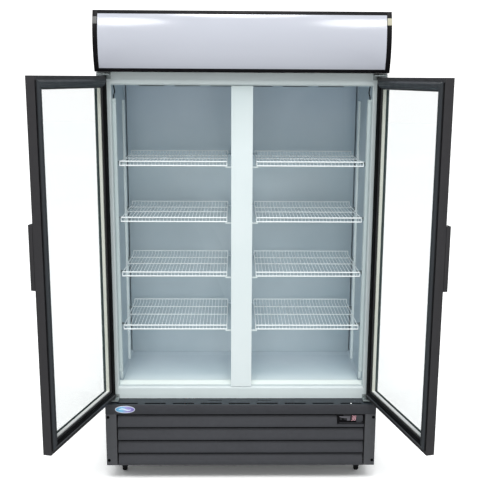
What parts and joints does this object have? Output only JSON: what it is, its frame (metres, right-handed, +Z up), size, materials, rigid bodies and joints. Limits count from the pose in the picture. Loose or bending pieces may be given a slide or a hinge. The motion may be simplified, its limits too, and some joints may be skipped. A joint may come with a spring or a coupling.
{
  "type": "glass door merchandiser",
  "caption": "Upright refrigerated display cabinet on casters with hinged glass doors, wire shelves, a lit header box and a louvred front panel.",
  "frame": {"origin": "on the floor, at mid-width, straight below the face of the front frame that the door gaskets seal against", "axes": "+X to the right as seen by someone facing the doors, +Y towards the back, +Z up; the front faces -Y"},
  "size_m": [1.5137, 1.2313, 2.05],
  "materials": {
    "black_steel": "satin",
    "panel_black": "satin",
    "door_black": "satin",
    "trim_black": "satin",
    "foam": "matte",
    "liner": "satin",
    "frame_grey": "satin",
    "white_plastic": "gloss",
    "light_cover": "frosted",
    "white_wire": "gloss",
    "sign": "gloss",
    "clear_glass": "clear",
    "gasket": "matte",
    "zinc": "satin",
    "bare_aluminium": "satin",
    "tyre": "matte"
  },
  "bodies": {
    "cabinet": {"side_panel_left": "black_steel", "side_panel_right": "black_steel", "back_panel": "black_steel", "top_panel": "black_steel", "foam_insulation": "foam", "inner_liner": "liner", "duct_panel": "liner", "front_frame": "frame_grey", "centre_mullion": "white_plastic", "pilaster_left_front": "bare_aluminium", "pilaster_left_rear": "bare_aluminium", "pilaster_right_front": "bare_aluminium", "pilaster_right_rear": "bare_aluminium", "light_bar_left": "light_cover", "light_bar_right": "light_cover", "shelf_left_1": "white_wire", "shelf_left_2": "white_wire", "shelf_left_3": "white_wire", "shelf_left_4": "white_wire", "shelf_right_1": "white_wire", "shelf_right_2": "white_wire", "shelf_right_3": "white_wire", "shelf_right_4": "white_wire", "header_housing": "trim_black", "header_cap_left": "trim_black", "header_cap_right": "trim_black", "header_sign": "sign", "header_lamp": "light_cover", "base_frame": "black_steel", "front_grille": "panel_black", "control_housing": "trim_black", "compressor": "black_steel", "condenser_coil": "bare_aluminium", "evaporator_coil": "bare_aluminium", "hinge_top_left": "zinc", "hinge_bottom_left": "zinc", "hinge_top_right": "zinc", "hinge_bottom_right": "zinc"},
    "left_door": {"left_door_frame": "door_black", "left_door_inner_glass": "clear_glass", "left_door_outer_glass": "clear_glass", "left_door_gasket": "gasket", "left_door_handle": "door_black"},
    "right_door": {"right_door_frame": "door_black", "right_door_inner_glass": "clear_glass", "right_door_outer_glass": "clear_glass", "right_door_gasket": "gasket", "right_door_handle": "door_black"},
    "key_down": {"key_down": "trim_black"},
    "key_up": {"key_up": "trim_black"},
    "condenser_fan": {"condenser_fan": "bare_aluminium"},
    "evaporator_fan": {"evaporator_fan": "bare_aluminium"},
    "fork_front_left": {"caster_fork_front_left": "zinc"},
    "fork_front_right": {"caster_fork_front_right": "zinc"},
    "fork_rear_left": {"caster_fork_rear_left": "zinc"},
    "fork_rear_right": {"caster_fork_rear_right": "zinc"},
    "wheel_front_left": {"caster_wheel_front_left": "tyre"},
    "wheel_front_right": {"caster_wheel_front_right": "tyre"},
    "wheel_rear_left": {"caster_wheel_rear_left": "tyre"},
    "wheel_rear_right": {"caster_wheel_rear_right": "tyre"}
  },
  "joints": [
    {"name": "left_door_hinge", "type": "hinge", "parent": "cabinet", "child": "left_door", "pos_m": [-0.579, -0.028, 0.39], "axis": [0, 0, 1], "range_deg": [0, 105.5]},
    {"name": "right_door_hinge", "type": "hinge", "parent": "cabinet", "child": "right_door", "pos_m": [0.579, -0.028, 0.39], "axis": [0, 0, 1], "range_deg": [-103.5, 2]},
    {"name": "key_down_press", "type": "slide", "parent": "cabinet", "child": "key_down", "axis": [0, 1, 0], "range_m": [0, 0.001], "stiffness_N_per_m": 300},
    {"name": "key_up_press", "type": "slide", "parent": "cabinet", "child": "key_up", "axis": [0, 1, 0], "range_m": [0, 0.001], "stiffness_N_per_m": 300},
    {"name": "condenser_fan_spin", "type": "hinge", "parent": "cabinet", "child": "condenser_fan", "pos_m": [0, 0.165, 0.216], "axis": [0, 1, 0], "continuous": true},
    {"name": "evaporator_fan_spin", "type": "hinge", "parent": "cabinet", "child": "evaporator_fan", "pos_m": [0, 0.546, 0.76], "axis": [1, 0, 0], "continuous": true},
    {"name": "swivel_front_left", "type": "hinge", "parent": "cabinet", "child": "fork_front_left", "pos_m": [-0.536, 0.066, 0.078], "axis": [0, 0, 1], "continuous": true},
    {"name": "swivel_front_right", "type": "hinge", "parent": "cabinet", "child": "fork_front_right", "pos_m": [0.536, 0.066, 0.078], "axis": [0, 0, 1], "continuous": true},
    {"name": "swivel_rear_left", "type": "hinge", "parent": "cabinet", "child": "fork_rear_left", "pos_m": [-0.536, 0.574, 0.078], "axis": [0, 0, 1], "continuous": true},
    {"name": "swivel_rear_right", "type": "hinge", "parent": "cabinet", "child": "fork_rear_right", "pos_m": [0.536, 0.574, 0.078], "axis": [0, 0, 1], "continuous": true},
    {"name": "roll_front_left", "type": "hinge", "parent": "fork_front_left", "child": "wheel_front_left", "pos_m": [-0.536, 0.084, 0.03], "axis": [1, 0, 0], "continuous": true},
    {"name": "roll_front_right", "type": "hinge", "parent": "fork_front_right", "child": "wheel_front_right", "pos_m": [0.536, 0.084, 0.03], "axis": [1, 0, 0], "continuous": true},
    {"name": "roll_rear_left", "type": "hinge", "parent": "fork_rear_left", "child": "wheel_rear_left", "pos_m": [-0.536, 0.592, 0.03], "axis": [1, 0, 0], "continuous": true},
    {"name": "roll_rear_right", "type": "hinge", "parent": "fork_rear_right", "child": "wheel_rear_right", "pos_m": [0.536, 0.592, 0.03], "axis": [1, 0, 0], "continuous": true}
  ]
}
